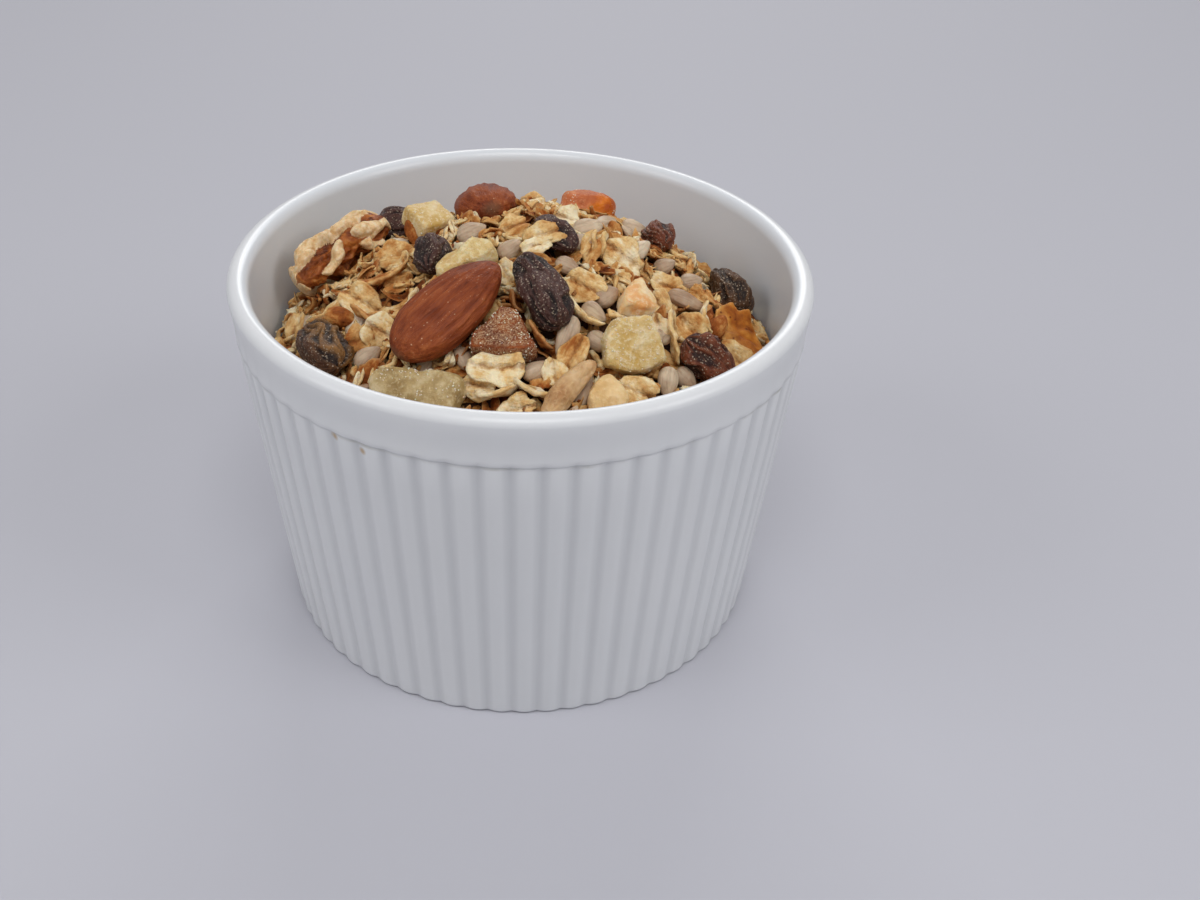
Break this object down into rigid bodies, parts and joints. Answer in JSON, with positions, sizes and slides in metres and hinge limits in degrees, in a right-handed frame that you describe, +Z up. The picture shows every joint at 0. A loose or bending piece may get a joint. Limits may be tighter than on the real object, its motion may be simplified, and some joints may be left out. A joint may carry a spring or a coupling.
{
  "type": "bowl of muesli",
  "caption": "Round ribbed porcelain bowl heaped with oat muesli, with nuts, raisins and candied fruit lying on the heap.",
  "frame": {"origin": "on the table, in the middle of the bowl's foot ring", "axes": "+Z up along the bowl's axis, -Y towards the picture's camera, +X to its right"},
  "size_m": [0.095, 0.095, 0.0695],
  "materials": {
    "porcelain": "white glossy glaze",
    "muesli": "dry, matt, cream to toasted brown",
    "almond": "brown skin with fine lengthwise wrinkles, matt",
    "walnut": "cream lobes over brown skin, satin",
    "raisin_dark": "dark wrinkled skin dusted with fine pale flour",
    "raisin_brown": "brown wrinkled skin dusted with fine pale flour",
    "candied_pineapple": "pale yellow, faintly clear, sugared",
    "sugared_fruit": "red-brown under a coat of sugar",
    "candied_papaya": "orange, faintly clear, sugared",
    "pale_fruit": "dried fruit, matt cream",
    "nut": "matt tan",
    "cornflake": "thin toasted sheet with small blisters"
  },
  "bodies": {
    "root": {"bowl": "porcelain", "muesli_heap": "muesli", "almond_front": "almond", "almond_back": "almond", "walnut_piece": "walnut", "raisin_centre": "raisin_dark", "raisin_left_front": "raisin_brown", "raisin_left": "raisin_dark", "raisin_left_back": "raisin_dark", "raisin_middle": "raisin_dark", "raisin_right_front": "raisin_brown", "raisin_right": "raisin_brown", "raisin_right_back": "raisin_brown", "pineapple_right": "candied_pineapple", "pineapple_back": "candied_pineapple", "candied_slice": "candied_pineapple", "sugared_fruit": "sugared_fruit", "papaya_back": "candied_papaya", "papaya_right": "candied_papaya", "banana_chunk": "pale_fruit", "nut_sliver": "nut", "apple_chunk": "pale_fruit", "cornflake": "cornflake"}
  },
  "joints": []
}
